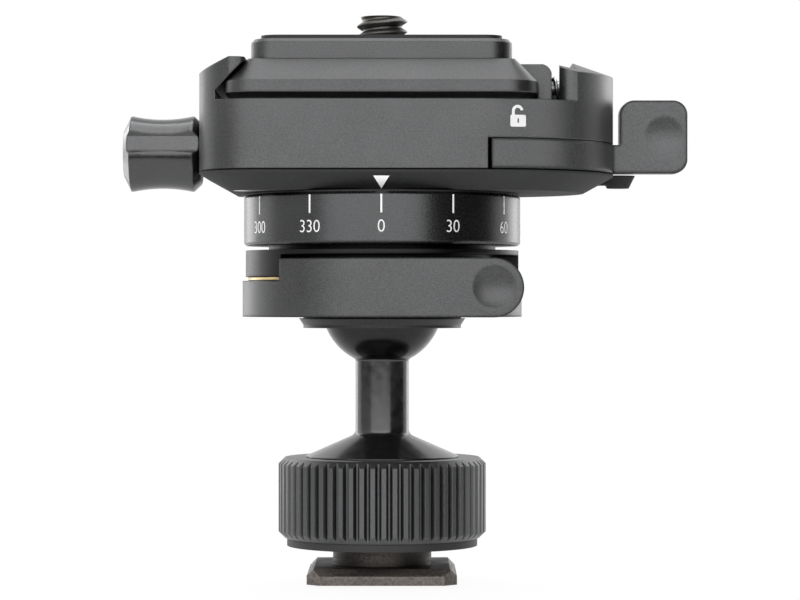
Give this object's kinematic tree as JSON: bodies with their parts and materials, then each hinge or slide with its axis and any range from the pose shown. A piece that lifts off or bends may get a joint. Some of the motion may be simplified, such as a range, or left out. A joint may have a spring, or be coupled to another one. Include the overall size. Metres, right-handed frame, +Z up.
{
  "type": "reverse ball head",
  "caption": "Reverse ball head: shoe foot with a knurled lock wheel, ball with a lever lock, degree ring, and a quick-release clamp that holds a dovetail camera plate.",
  "frame": {"origin": "middle of the shoe foot's underside, on the stem axis", "axes": "+Z up along the stem towards the camera screw, +X towards the quick-release lever, +Y away from the front, where the scale reads zero"},
  "size_m": [0.0709, 0.038, 0.0709],
  "materials": {
    "black_anodised": "bead-blasted black anodised",
    "scale_black": "satin black anodised with white degree marks",
    "gloss_black": "polished black",
    "wheel_satin": "satin dark grey anodised, knurled",
    "foot_steel": "dark oxidised steel",
    "brass": "satin",
    "steel": "plain turned steel",
    "black_screw": "blackened steel",
    "nylon": "plain moulded",
    "black_plastic": "plain moulded",
    "white_print": "printed marks, used for the visual model only",
    "rubber": "matte"
  },
  "bodies": {
    "foot": {"shoe_foot": "foot_steel", "ball_stem": "gloss_black"},
    "press_ring": {"shoe_pressure_ring": "rubber"},
    "wheel": {"shoe_lock_wheel": "wheel_satin"},
    "ball": {"ball": "gloss_black"},
    "cup": {"ball_cup": "nylon", "cup_spring": "steel"},
    "housing": {"ball_housing": "black_anodised", "brass_thrust_washer": "brass", "scale_ring": "scale_black", "pan_spindle": "steel", "pan_glide_washer": "black_plastic", "pan_retainer_washer": "steel", "pan_retainer_screw": "steel"},
    "socket": {"socket_ring": "black_anodised"},
    "ball_lock": {"lock_lever_ring": "black_anodised"},
    "clamp": {"clamp_body": "black_anodised", "base_plate": "black_anodised", "base_screws": "steel", "pan_bush": "brass", "lever_pivot_pin": "steel", "jaw_guide_pins": "steel", "jaw_springs": "steel"},
    "jaw": {"movable_jaw": "black_anodised", "jaw_follower_pin": "steel"},
    "release_lever": {"quick_release_lever": "black_anodised"},
    "brake": {"pan_brake_shoe": "nylon"},
    "pan_knob": {"pan_lock_knob": "black_anodised", "pan_lock_shaft": "steel"},
    "plate": {"camera_plate": "black_anodised", "plate_pad": "rubber"},
    "camera_screw": {"camera_screw": "black_screw", "screw_clip": "steel"}
  },
  "joints": [
    {"name": "wheel_feed", "type": "slide", "parent": "foot", "child": "press_ring", "axis": [0, 0, -1], "range_m": [0, 0.001]},
    {"name": "wheel_turn", "type": "hinge", "parent": "press_ring", "child": "wheel", "pos_m": [0, 0, 0.0104], "axis": [0, 0, -1], "range_deg": [0, 360]},
    {"name": "ball_swivel", "type": "hinge", "parent": "foot", "child": "ball", "pos_m": [0, 0, 0.0346], "axis": [0, 0, 1], "continuous": true},
    {"name": "ball_tilt", "type": "hinge", "parent": "ball", "child": "cup", "pos_m": [0, 0, 0.0346], "axis": [1, 0, 0], "range_deg": [-40, 40]},
    {"name": "ball_roll", "type": "hinge", "parent": "cup", "child": "housing", "pos_m": [0, 0, 0.0346], "axis": [0, 0, 1], "continuous": true},
    {"name": "socket_feed", "type": "slide", "parent": "housing", "child": "socket", "axis": [0, 0, -1], "range_m": [0, 0.00025]},
    {"name": "ball_lock_turn", "type": "hinge", "parent": "housing", "child": "ball_lock", "pos_m": [0, 0, 0.0354], "axis": [0, 0, 1], "range_deg": [0, 45]},
    {"name": "pan", "type": "hinge", "parent": "housing", "child": "clamp", "pos_m": [0, 0, 0.0498], "axis": [0, 0, 1], "continuous": true},
    {"name": "release_turn", "type": "hinge", "parent": "clamp", "child": "release_lever", "pos_m": [0.0111, 0, 0.0529], "axis": [0, 0, 1], "range_deg": [0, 50]},
    {"name": "jaw_slide", "type": "slide", "parent": "clamp", "child": "jaw", "axis": [1, 0, 0], "range_m": [0, 0.0025], "deforming": ["jaw_springs"]},
    {"name": "brake_feed", "type": "slide", "parent": "clamp", "child": "brake", "axis": [-1, 0, 0], "range_m": [0, 0.0004]},
    {"name": "pan_lock_turn", "type": "hinge", "parent": "brake", "child": "pan_knob", "pos_m": [-0.0276, 0, 0.0536], "axis": [1, 0, 0], "range_deg": [0, 180]},
    {"name": "plate_slide", "type": "slide", "parent": "clamp", "child": "plate", "axis": [0, -1, 0], "range_m": [0, 0.04]},
    {"name": "camera_screw_turn", "type": "hinge", "parent": "plate", "child": "camera_screw", "pos_m": [0, 0, 0.066], "axis": [0, 0, 1], "continuous": true}
  ],
  "couplings": [
    {"joint": "wheel_feed", "follows": "wheel_turn", "m_per_rad": 0.000159},
    {"joint": "socket_feed", "follows": "ball_lock_turn", "m_per_rad": 0.000318},
    {"joint": "jaw_slide", "follows": "release_turn", "m_per_rad": 0.002864},
    {"joint": "pan_lock_turn", "follows": "brake_feed", "rad_per_m": 7850}
  ]
}
